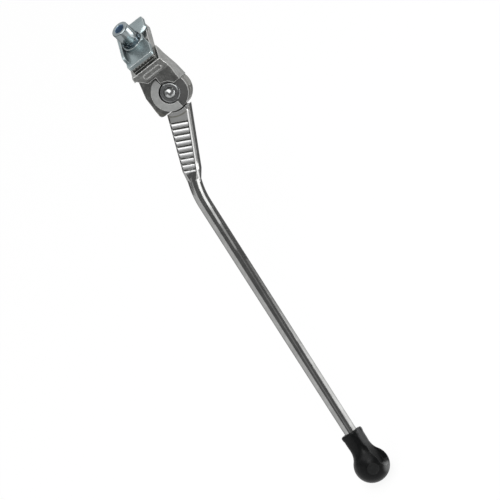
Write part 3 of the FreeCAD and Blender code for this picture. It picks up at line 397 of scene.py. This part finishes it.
class AtPivot:
    """Measures of a place on the surface in the pivot's frame, in millimetres."""

    def __init__(self, graph):
        self.graph = graph
        self.local = graph.vector("SUBTRACT", graph.place, PIVOT / MM)

    @cached_property
    def height(self):
        return self.graph.dot(self.local, PIVOT_Z)

    @cached_property
    def forward(self):
        return self.graph.dot(self.local, PIVOT_X)

    @cached_property
    def down(self):
        return self.graph.dot(self.local, PIVOT_Y)

    @cached_property
    def radius(self):
        squares = [self.graph.math("POWER", way, 2.0) for way in (self.forward, self.down)]
        return self.graph.math("SQRT", self.graph.plus(*squares))

    @cached_property
    def along(self):
        return self.graph.dot(self.local, THIGH)

    @cached_property
    def rear(self):
        return self.graph.dot(self.local, REARWARD + THIGH * RIB_SLANT)

    @cached_property
    def front(self):
        return self.graph.plus(self.graph.dot(self.local, REARWARD - THIGH * RIB_SLANT), RIB_FRONT)

    @cached_property
    def rib_turn(self):
        """Share of the way from one rib to the next."""
        ribs = self.graph.math("DIVIDE", self.graph.math("SUBTRACT", self.along, RIB_START), RIB_STEP)
        return self.graph.math("FRACT", ribs)

    def ribbed_length(self, lead=0.0, tail=0.0):
        start, end = RIB_START - lead, RIB_END + tail
        return self.graph.band(self.along, (start - 0.3, start - 0.1), (end + 0.3, end + 0.1))


def outward(graph):
    return graph.dot(graph.normal, PIVOT_Z)


def blasted_faces(graph):
    """Matte share of the leg: the half ring on the eye and the outer face of the upper leg."""
    at = AtPivot(graph)
    ring = graph.times(
        graph.ramp(at.radius, EYE_RADIUS + 0.3, EYE_RADIUS),
        graph.ramp(at.height, EYE_FACE + 1.1, EYE_FACE + 1.7),
    )
    thigh = graph.times(
        graph.band(at.down, (11.0, 13.0), (54.0, 52.5)),
        graph.ramp(outward(graph), *FACE_RAMP),
        graph.ramp(at.radius, EYE_RADIUS + 0.1, EYE_RADIUS + 0.5),
    )
    return graph.larger(ring, thigh)


def pivot_grease_and_shade(graph):
    """Grease smeared round the pivot, with painted shade: dark round the rims of the eye and of the cheek
    behind it, and a painted shadow line along the leg's shoulder.
    """
    at = AtPivot(graph)
    rims = graph.times(
        graph.ramp(at.radius, EYE_RADIUS + 0.9, EYE_RADIUS + 0.2),
        graph.ramp(at.height, EYE_FACE + 0.5, EYE_FACE - 0.1),
        graph.ramp(graph.math("ABSOLUTE", outward(graph)), *SIDE_RAMP),
    )
    apart = graph.math("ABSOLUTE", graph.math("SUBTRACT", at.radius, SHOULDER_RADIUS))
    # Painted shadow line along the step of the leg's shoulder
    shoulder = graph.times(
        graph.ramp(apart, *SHOULDER_RAMP),
        graph.ramp(at.down, 0.0, 2.0),
        graph.ramp(at.height, EYE_FACE - 2.5, EYE_FACE - 1.5),
    )
    smear = graph.ramp(graph.noise(*SMEAR_NOISE), *SMEAR_RAMP)
    return graph.times(graph.larger(rims, shoulder), smear), GREASE_AND_SHADE


def eye_rim_highlight(graph):
    """Painted highlight on the rim of the eye where it carries no stop ring."""
    at = AtPivot(graph)
    cover = graph.times(
        graph.band(at.radius, (EYE_RADIUS - 0.75, EYE_RADIUS - 0.5), (EYE_RADIUS + 0.4, EYE_RADIUS + 0.2)),
        graph.band(at.height, (EYE_FACE - 0.9, EYE_FACE - 0.7), (EYE_FACE + 0.2, EYE_FACE)),
        graph.ramp(at.forward, 1.0, -1.0, 0.0, 0.9),
    )
    return cover, WORN_EDGE_AND_HIGHLIGHT


def rib_crest_highlight(graph):
    """Painted highlight on the crest of each rib."""
    at = AtPivot(graph)
    cover = graph.times(
        graph.band(at.rib_turn, CREST_RISE, CREST_FALL),
        graph.ramp(at.rear, RIB_REAR + 0.1, RIB_REAR - 0.1),
        graph.ramp(at.height, EYE_FACE + 0.2, EYE_FACE + 0.5),
        at.ribbed_length(),
    )
    return cover, RIB_CREST_HIGHLIGHT


def rib_border_highlight(graph):
    """Painted highlight: a bright line beside the ribs' ends, from the ring to the bend."""
    at = AtPivot(graph)
    cover = graph.times(
        graph.band(at.rear, (RIB_REAR + 0.2, RIB_REAR + 0.4), (BORDER_REAR, BORDER_REAR - 0.3)),
        graph.ramp(at.height, 3.0, 4.0),
        at.ribbed_length(BORDER_LEAD, BORDER_TAIL),
    )
    return cover, WORN_EDGE_AND_HIGHLIGHT


def rib_groove_shade(graph):
    """Painted shade on the floors of the grooves, along their upper edges and along the ribs' ends."""
    at = AtPivot(graph)
    floors = graph.ramp(at.height, EYE_FACE + 0.4, EYE_FACE, 0.0, 0.85)
    upper_edges = graph.ramp(at.rib_turn, *GROOVE_EDGE_RAMP)
    grooves = graph.times(
        graph.larger(floors, upper_edges),
        graph.ramp(at.rear, RIB_REAR + 0.1, RIB_REAR - 0.1),
        graph.ramp(at.front, *GROOVE_FRONT_RAMP),
    )
    ends = graph.band(at.rear, (RIB_REAR - 0.5, RIB_REAR - 0.2, 0.0, 0.8), (RIB_REAR + 0.4, RIB_REAR + 0.2))
    cover = graph.times(
        graph.larger(grooves, ends),
        graph.ramp(at.height, EYE_FACE - 0.6, EYE_FACE - 0.3),
        at.ribbed_length(),
    )
    return cover, RIB_GROOVE_SHADE


def socket_shade(graph):
    """Painted shade: a dark blue inside the bolt's socket."""
    radius = graph.length(graph.vector("MULTIPLY", graph.place, (1.0, 1.0, 0.0)))
    height = graph.dot(graph.place, (0.0, 0.0, 1.0))
    inside = graph.times(
        graph.ramp(radius, SOCKET_RADIUS, SOCKET_RADIUS - 0.2),
        graph.ramp(height, SOCKET_LOW, SOCKET_LOW + 0.4),
    )
    return inside, SOCKET_SHADE_BLUE


def rubber(name):
    """Dusty black rubber with a scuffed disc, a painted sheen on its edges, a painted highlight at the end
    of its hollow and painted light on the floor of the hollow.
    """
    material, graph = new_material(name)
    cloud = graph.noise(*RUBBER_CLOUD_NOISE)
    grit = graph.noise(*RUBBER_GRIT_NOISE)
    dust = graph.ramp(graph.noise(*RUBBER_DUST_NOISE), *RUBBER_DUST_RAMP)
    rounded = graph.bevel(RUBBER_EDGE_RADIUS)
    edge = graph.ramp(graph.dot(rounded, graph.normal), *RUBBER_EDGE_RAMP)
    local = graph.vector("SUBTRACT", graph.place, FOOT_MOUTH / MM + SHIN * BULB_CENTRE)
    along = graph.dot(local, SHIN)
    scuff = graph.times(
        graph.ramp(graph.dot(local, DISC_NORMAL), DISC_REACH - 0.35, DISC_REACH - 0.05),
        graph.ramp(dust, *SCUFF_DUST_RAMP),
    )
    wall = graph.ramp(graph.dot(graph.normal, SHIN), *HIGHLIGHT_WALL_RAMP)
    # Painted highlight: a light crescent at the end of the hollow
    end_highlight = graph.times(
        graph.ramp(wall, *HIGHLIGHT_WALL_SHARE),
        graph.ramp(graph.length(graph.vector("SUBTRACT", local, HIGHLIGHT_SPOT)), *HIGHLIGHT_REACH_RAMP),
        graph.ramp(along, *HIGHLIGHT_ALONG_RAMP),
    )
    # Painted light on the floor of the hollow
    lit_facet = graph.times(
        graph.ramp(graph.dot(graph.normal, HOLLOW), *FACET_RAMP),
        graph.ramp(along, *FACET_ALONG_RAMP),
    )
    color = graph.mix(graph.ramp(cloud, *RUBBER_CLOUD_RAMP), RUBBER_DARK, RUBBER_LIGHT)
    color = graph.mix(graph.times(dust, RUBBER_DUST_SHARE), color, RUBBER_DUST)
    # Lighter edges: a painted sheen
    color = graph.mix(graph.times(edge, RUBBER_EDGE_SHARE), color, RUBBER_EDGE_SHEEN)
    color = graph.mix(scuff, color, RUBBER_SCUFF)
    color = graph.mix(end_highlight, color, RUBBER_HIGHLIGHT)
    color = graph.mix(lit_facet, color, RUBBER_FACET_LIGHT)
    height = graph.plus(graph.times(cloud, RUBBER_CLOUD_HEIGHT), graph.times(grit, RUBBER_GRIT_HEIGHT))
    graph.principled({
        "Base Color": color,
        "Roughness": graph.ramp(graph.noise(*RUBBER_GLOSS_NOISE), *RUBBER_GLOSS_RAMP),
        "Normal": graph.bump(height, rounded),
        "Specular IOR Level": RUBBER_SPECULAR,
    })
    return material


LOOKS = {
    "head_metal": metal(
        "head_plating", (0.345, 0.350, 0.338), 0.17, 0.9, wear_and_highlight=1.0, dirt_and_shade=0.55, grain=0.2, wave=0.14,
        variety=0.2, blotch=(0.8, 0.55), dirt_and_shade_ramp=(0.85, 0.35), rim=0.7, overlays=(pivot_grease_and_shade,),
    ),
    "leg_metal": metal(
        "leg_plating", (0.370, 0.372, 0.366), 0.12, 0.6, wear_and_highlight=0.8, dirt_and_shade=0.85, dirt_and_shade_ramp=(0.93, 0.60),
        blotch=(0.5, 0.75), satin=blasted_faces,
        overlays=(pivot_grease_and_shade, eye_rim_highlight, rib_crest_highlight, rib_border_highlight, rib_groove_shade),
    ),
    "zinc_steel": metal(
        "zinc_plating", (0.285, 0.335, 0.345), 0.30, 0.7, wear_and_highlight=0.8, dirt_and_shade=0.8, dirt_and_shade_ramp=(0.85, 0.30),
        grain=0.06, wave=0.05, metallic=0.75,
    ),
    "pivot_steel": metal("pivot_plating", (0.42, 0.43, 0.43), 0.18, 0.5, wear_and_highlight=0.6, wave=0.02),
    "bush_brass": metal("bearing_brass", (0.46, 0.34, 0.15), 0.3),
    "spring_steel": metal("spring_wire", (0.22, 0.22, 0.225), 0.3),
    "foot_rubber": rubber("foot_rubber"),
}
BOLT_LOOK = metal(
    "bolt_zinc", (0.300, 0.335, 0.345), 0.15, 0.3, wear_and_highlight=0.3, grain=0.05, wave=0.03, overlays=(socket_shade,),
)
LOCK_LOOK = metal("lock_zinc", (0.150, 0.190, 0.215), 0.28, 0.3, wear_and_highlight=0.5, dirt_and_shade=0.8)
CUP_LOOK = metal("cup_plating", (0.330, 0.338, 0.340), 0.18, 0.5, wear_and_highlight=1.0, wave=0.02)


def finish_piece(piece, look):
    piece.data.materials.clear()
    piece.data.materials.append(look)


for part in frame["record"]["subparts"]:
    finish_piece(nodes[part["node"]], LOOKS[part["material_slot"]])
finish_piece(nodes["lock_washer"], LOCK_LOOK)
finish_piece(nodes["pivot_cup_washer"], CUP_LOOK)

SHARP_ANGLE = math.radians(32.0)


def skin(name, rings, body, node, look):
    """Piece with a skin over a row of rings, which have equal numbers of points."""
    mesh = bmesh.new()
    rows = [[mesh.verts.new(point) for point in ring] for ring in rings]
    count = len(rows[0])
    for low, high in zip(rows, rows[1:]):
        for i in range(count):
            j = (i + 1) % count
            mesh.faces.new((low[i], low[j], high[j], high[i]))
    mesh.faces.new(rows[0])
    mesh.faces.new(rows[-1])
    bmesh.ops.recalc_face_normals(mesh, faces=mesh.faces)
    data = bpy.data.meshes.new(name)
    mesh.to_mesh(data)
    mesh.free()
    data.shade_smooth()
    data.set_sharp_from_angle(angle=SHARP_ANGLE)
    piece = bpy.data.objects.new(name, data)
    scene.collection.objects.link(piece)
    finish_piece(piece, look)
    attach(piece, body)
    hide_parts(node)


def turns(count):
    return [2.0 * math.pi * i / count for i in range(count)]


def smooth(value, low, high):
    share = min(1.0, max(0.0, (value - low) / (high - low)))
    return share * share * (3.0 - 2.0 * share)


def hexagon(half, angle):
    return half / math.cos((angle + math.pi / 6) % (math.pi / 3) - math.pi / 6)


def thread_radius(height, angle):
    phase = (height / THREAD_PITCH - angle / (2.0 * math.pi)) % 1.0
    ridge = min(1.0, max(0.0, THREAD_RIDGE - THREAD_SLOPE * abs(phase - 0.5)))
    runout = smooth(height, THREAD_TOP, THREAD_TOP - THREAD_RUNOUT)
    runout *= smooth(height, BOLT_END, BOLT_END + THREAD_FADE)
    tip = SHANK_RADIUS - TIP_CHAMFER * smooth(height, BOLT_END + TIP_LENGTH, BOLT_END)
    return min(tip, SHANK_RADIUS - (SHANK_RADIUS - THREAD_ROOT) * (1.0 - ridge) * runout)


def bolt_ring(radius, height):
    """Ring of the bolt whose radius is a number or a function of the angle."""
    points = []
    for angle in turns(BOLT_TURNS):
        reach = radius(angle) if callable(radius) else radius
        points.append(Vector((reach * math.cos(angle), reach * math.sin(angle), height)) * MM)
    return points


def bolt_rings():
    """Rings from the floor of the hexagon socket over the rounded head and down the cut thread."""
    def key(scale):
        return partial(hexagon, KEY_HALF * scale)

    floor = HEAD_HIGH - KEY_DEPTH
    rows = [
        (0.05, floor - 0.9),
        (key(0.5), floor - 0.45),
        (key(0.97), floor),
        (key(1.0), floor + 0.15),
        (key(1.0), HEAD_HIGH - 0.75),
        (key(1.04), HEAD_HIGH - 0.35),
        (4.0, HEAD_HIGH - 0.12),
        (4.25, HEAD_HIGH),
        (5.55, HEAD_HIGH),
    ]
    for step in range(HEAD_ROUND_STEPS + 1):
        turn = math.radians(90.0 * step / HEAD_ROUND_STEPS)
        rows.append((
            HEAD_RADIUS - HEAD_ROUND + HEAD_ROUND * math.sin(turn),
            HEAD_HIGH - HEAD_ROUND + HEAD_ROUND * math.cos(turn),
        ))
    rows += [
        (HEAD_RADIUS, HEAD_LOW + 0.5),
        (HEAD_RADIUS - 0.15, HEAD_LOW + 0.12),
        (6.1, HEAD_LOW),
        (SHANK_RADIUS + 0.02, HEAD_LOW),
        (SHANK_RADIUS, HEAD_LOW - 0.1),
        (SHANK_RADIUS, THREAD_TOP + 0.1),
    ]
    steps = int((THREAD_TOP - BOLT_END) / THREAD_PITCH * THREAD_STEPS)
    for step in range(steps + 1):
        height = THREAD_TOP + (BOLT_END - THREAD_TOP) * step / steps
        rows.append((partial(thread_radius, height), height))
    rows.append((1.5, BOLT_END))
    return [bolt_ring(radius, height) for radius, height in rows]


skin("clamp_bolt_threaded", bolt_rings(), "clamp", "clamp_bolt", BOLT_LOOK)


def foot_profile(depth):
    """Radius of neck, flare and round end."""
    if depth >= FLARE_END:
        return math.sqrt(max(0.0, BULB ** 2 - (depth - BULB_CENTRE) ** 2))
    if depth >= FLARE_MID:
        return FLARE_AXIS - math.sqrt(FLARE ** 2 - (depth - FLARE_MID) ** 2)
    return FLARE_AXIS - FLARE


def foot_point(angle, depth, radius):
    """Point of the foot's skin, with its squared neck, the hollow down its side and its disc."""
    square = SQUARE_SHARE * (1.0 - smooth(depth, *SQUARE_FADE)) * smooth(radius, *SQUARE_LIP)
    turned = angle - SIDE_FLAT_TURN
    power = 2.0 + SQUARE_POWER * square
    boxy = (abs(math.cos(turned)) ** power + abs(math.sin(turned)) ** power) ** (-1.0 / power)
    reach = radius * (1.0 + (boxy - 1.0) * SQUARE_MIX)
    out, side = reach * math.cos(turned), reach * math.sin(turned)
    flat = HOLLOW_FLOOR + HOLLOW_RISE * smooth(depth, *HOLLOW_RISE_SPAN)
    width = HOLLOW_HALF + HOLLOW_WIDENS * smooth(depth, *HOLLOW_WIDEN_SPAN)
    end = HOLLOW_END - HOLLOW_END_BOW * (side / width) ** 2
    dip = 1.0 - smooth(abs(side), width * HOLLOW_WALL_START, width * HOLLOW_WALL_END)
    dip *= 1.0 - smooth(depth, end - HOLLOW_END_BEFORE, end + HOLLOW_END_AFTER)
    if out > flat:
        out += (flat - out) * dip * smooth(radius, *HOLLOW_LIP)
    turn = math.atan2(side, out) + SIDE_FLAT_TURN
    reach = math.hypot(out, side)
    around = FOOT_OUT * math.cos(turn) + FOOT_SIDE * math.sin(turn)
    point = SHIN * depth + around * reach
    over = (point - SHIN * BULB_CENTRE).dot(DISC_NORMAL) - DISC_REACH
    if over > 0 and depth > DISC_FROM:
        point -= DISC_NORMAL * over
    return FOOT_MOUTH + point * MM


def foot_rings():
    """Rings from the bore's floor over the mouth and down the outside to the tip."""
    rows = BORE_ROWS + MOUTH_ROWS
    tip = BULB_CENTRE + BULB - 0.01
    for step in range(FOOT_STEPS + 1):
        share = math.sin(math.pi / 2 * step / FOOT_STEPS)
        depth = NECK_START + (tip - NECK_START) * share
        rows.append((depth, foot_profile(depth)))
    return [[foot_point(angle, depth, radius) for angle in turns(FOOT_TURNS)] for depth, radius in rows]


skin("rubber_foot_moulded", foot_rings(), "leg", "rubber_foot", LOOKS["foot_rubber"])

# Stage, in metres: white floor and world, soft lamps, and cards that only reflections see
FLOOR_GREY, FLOOR_GLOW, FLOOR_SHADOW = (0.9, 0.9, 0.9), 1.02, 0.10
FLOOR_DROP, FLOOR_REACH = 0.2 * MM, 4.0
WORLD_LIGHT = 0.55
CARD_LEVEL = cad_box[0][2] + 0.5 * MM
KEY_TOWARD = Vector((-0.280, 0.509, 0.814))
LAMPS = (
    # name, direction towards the lamp, distance, size, power
    ("key", KEY_TOWARD, 1.4, 0.35, 6.0),
    ("top", Vector((-0.05, 0.0, 1.0)), 1.6, 1.2, 9.0),
)

# Cards round the rod: strength, then the way along the rod and the span in degrees at both ends
ROD_MIDDLE = Vector((40.0, 110.0, -160.0)) * MM
CARD_RADIUS, BEND_RADIUS, CARD_STEPS = 0.6, 0.04, 12
TOP, BOTTOM, FAR, HEAD_CARD_END = -0.09, 0.17, 0.62, -0.13
LEFT, DARK = -45.0, 0.18
ROD_CARDS = (
    ("card_head", 0.23, (-FAR, LEFT, 67.0), (TOP, LEFT, 67.0)),
    ("card_left", DARK, (TOP, LEFT, 46.0), (BOTTOM, LEFT, -23.0)),
    ("card_line", 0.42, (TOP, 46.0, 62.0), (BOTTOM, -23.0, -8.0)),
    ("card_right", DARK, (TOP, 62.0, 106.0), (BOTTOM, -8.0, 42.0)),
    ("card_glint", 1.7, (0.03, 76.0, 76.5), (BOTTOM, 42.0, 78.0)),
    ("card_low", 0.20, (BOTTOM, LEFT, 50.0), (FAR, LEFT, 50.0)),
)
BEND_CARDS = (
    ("card_bend_0", 3.0, (-0.0920, 35.0, 70.0), (-0.0885, 35.0, 74.0)),
    ("card_bend_1", 3.0, (-0.0885, 35.0, 74.0), (-0.0815, 26.0, 66.0)),
    ("card_bend_2", 2.4, (-0.0815, 26.0, 66.0), (-0.0745, 22.0, 60.0)),
    ("card_bend_3", 1.5, (-0.0745, 22.0, 60.0), (-0.0620, 18.0, 52.0)),
    ("card_bend_4", 0.75, (-0.0620, 18.0, 52.0), (-0.0400, 16.0, 44.0)),
    ("card_bend_dark", DARK, (-0.098, 76.0, 112.0), (-0.030, 62.0, 112.0)),
)
HEAD_CARDS = (
    ("card_head_left", 0.30, (-FAR, -95.0, LEFT), (HEAD_CARD_END, -95.0, LEFT)),
    ("card_head_right", 0.30, (-FAR, 67.0, 95.0), (HEAD_CARD_END, 67.0, 95.0)),
    ("card_side", 0.15, (-FAR, -135.0, -100.0), (HEAD_CARD_END, -135.0, -100.0)),
)

# Flat cards: the strip on the floor with its ramp of strength, the bolt's cards with x and strength,
# the level cards with their spans in x and y and strength, and the dome's card
STRIP_TOWARD, STRIP_RAMP = (0.257, 1.0, 0.0), (-0.13, 0.10, 0.42, 1.9)
STRIP_OUTLINE = ((-1.6, 0.131), (0.06, -0.295), (0.06, 0.135), (-1.6, 0.561))
BOLT_CARDS = (("card_bolt", -0.200, 7.0), ("card_bolt_back", -0.202, 0.6))
BOLT_CARD_OUTLINE = ((-0.04, -0.15), (0.07, -0.15), (0.07, -0.085), (-0.04, -0.085))
EDGE_CARD = ("card_edge", (-0.75, -0.30), (0.27, 0.50), 0.75)
FRONT_CARD = ("card_front", (-0.05, 0.25), (0.36, 0.62), 0.45)
DOME_HALF, DOME_DISTANCE, DOME_STRENGTH = 0.22, 0.45, 2.2


def seen_directly(graph):
    path = graph.tree.nodes.new("ShaderNodeLightPath").outputs
    shown = graph.larger(path["Is Camera Ray"], path["Is Glossy Ray"])
    return graph.larger(shown, path["Is Transmission Ray"])


def place_world():
    world = bpy.data.worlds.new("studio")
    world.use_nodes = True
    scene.world = world
    graph = Graph(world.node_tree)
    background = graph.tree.nodes["Background"]
    strength = graph.blend(seen_directly(graph), WORLD_LIGHT, 1.0)
    graph.put(background.inputs["Color"], WHITE)
    graph.put(background.inputs["Strength"], strength)


def stage_piece(name, corners, faces, material):
    data = bpy.data.meshes.new(name)
    data.from_pydata([tuple(corner) for corner in corners], [], faces)
    data.materials.append(material)
    card = bpy.data.objects.new(name, data)
    scene.collection.objects.link(card)
    return card


def flat_card(name, corners, material):
    return stage_piece(name, corners, [tuple(range(len(corners)))], material)


def level_corners(x, y, height):
    """Corners of a level rectangle between two values of x and two of y."""
    return [(x[0], y[0], height), (x[1], y[0], height), (x[1], y[1], height), (x[0], y[1], height)]


def place_floor():
    material, graph = new_material("floor_white")
    diffuse = graph.add("BsdfDiffuse", {"Color": FLOOR_GREY})
    white = graph.add("Emission", {"Color": WHITE, "Strength": FLOOR_GLOW})
    shadowed = graph.add("MixShader", {0: FLOOR_SHADOW, 1: white, 2: diffuse})
    shown = graph.add("MixShader", {0: seen_directly(graph), 1: diffuse, 2: shadowed})
    clear = graph.add("BsdfTransparent", {"Color": WHITE})
    back = graph.add("NewGeometry", {}, "Backfacing")
    graph.surface(graph.add("MixShader", {0: back, 1: shown, 2: clear}))
    span = (-FLOOR_REACH, FLOOR_REACH)
    flat_card("floor", level_corners(span, span, cad_box[0][2] - FLOOR_DROP), material)


def glow(name, strength):
    material, graph = new_material(name)
    graph.surface(graph.add("Emission", {"Color": WHITE, "Strength": strength}))
    return material


def only_in_reflections(card):
    card.visible_camera = False
    card.visible_diffuse = False
    card.visible_shadow = False
    card.visible_transmission = False
    card.visible_volume_scatter = False


def curved_card(name, strength, upper, lower, radius):
    """Part of a tube round the rod; its spans count in degrees towards the right of the picture."""
    corners = []
    for along, start, end in (upper, lower):
        for step in range(CARD_STEPS + 1):
            turn = math.radians(start + (end - start) * step / CARD_STEPS)
            around = FOOT_OUT * math.cos(turn) + FOOT_SIDE * math.sin(turn)
            corners.append(ROD_MIDDLE + around * radius + SHIN * along)
    count = CARD_STEPS + 1
    faces = [(i, i + 1, count + i + 1, count + i) for i in range(CARD_STEPS)]
    only_in_reflections(stage_piece(name, corners, faces, glow(name, strength)))


def place_rod_cards():
    """Dark cards with a slanting lighter line between them for the rod, and a light line along the bend."""
    for card in ROD_CARDS:
        curved_card(*card, CARD_RADIUS)
    for card in BEND_CARDS:
        curved_card(*card, BEND_RADIUS)


def place_head_cards():
    """Grey cards on both sides of the head."""
    for card in HEAD_CARDS:
        curved_card(*card, CARD_RADIUS)


def place_rod_light():
    """Strip on the floor behind the stand, bright near the foot, for the right side of the rod."""
    material, graph = new_material("card_floor")
    position = graph.add("TexCoord", {}, "Object")
    strength = graph.ramp(graph.dot(position, STRIP_TOWARD), *STRIP_RAMP)
    graph.surface(graph.add("Emission", {"Color": WHITE, "Strength": strength}))
    corners = [(x, y, CARD_LEVEL) for x, y in STRIP_OUTLINE]
    only_in_reflections(flat_card("card_floor", corners, material))


def place_bolt_light():
    """Small bright card behind the head for the stripe on the bolt, with a grey back to the folded rod."""
    for name, x, strength in BOLT_CARDS:
        corners = [(x, y, z) for y, z in BOLT_CARD_OUTLINE]
        only_in_reflections(flat_card(name, corners, glow(name, strength)))


def place_level_card(name, x, y, strength):
    """Card on the floor: to the right for the upper leg's bevel, or in front for the head's outer wall."""
    corners = level_corners(x, y, CARD_LEVEL)
    only_in_reflections(flat_card(name, corners, glow(name, strength)))


def place_dome_light():
    """Bright card above the pivot for the spot on the rivet's dome."""
    turn = KEY_TOWARD.to_track_quat("Z", "Y").to_matrix()
    span = (-DOME_HALF, DOME_HALF)
    square = level_corners(span, span, DOME_DISTANCE)
    corners = [RIVET_TOP + turn @ Vector(corner) for corner in square]
    only_in_reflections(flat_card("card_dome", corners, glow("card_dome", DOME_STRENGTH)))


def soft_lamp(name, toward, distance, size, power):
    data = bpy.data.lights.new(name, "AREA")
    data.shape = "SQUARE"
    data.size = size
    data.energy = power
    lamp = bpy.data.objects.new(name, data)
    lamp.location = PICTURE_CENTRE + toward.normalized() * distance
    lamp.rotation_euler = toward.to_track_quat("Z", "Y").to_euler()
    lamp.visible_camera = False
    scene.collection.objects.link(lamp)


place_camera()
place_world()
place_floor()
place_rod_cards()
place_head_cards()
place_level_card(*FRONT_CARD)
place_dome_light()
place_rod_light()
place_bolt_light()
place_level_card(*EDGE_CARD)
for row in LAMPS:
    soft_lamp(*row)

scene.view_settings.view_transform = "Standard"
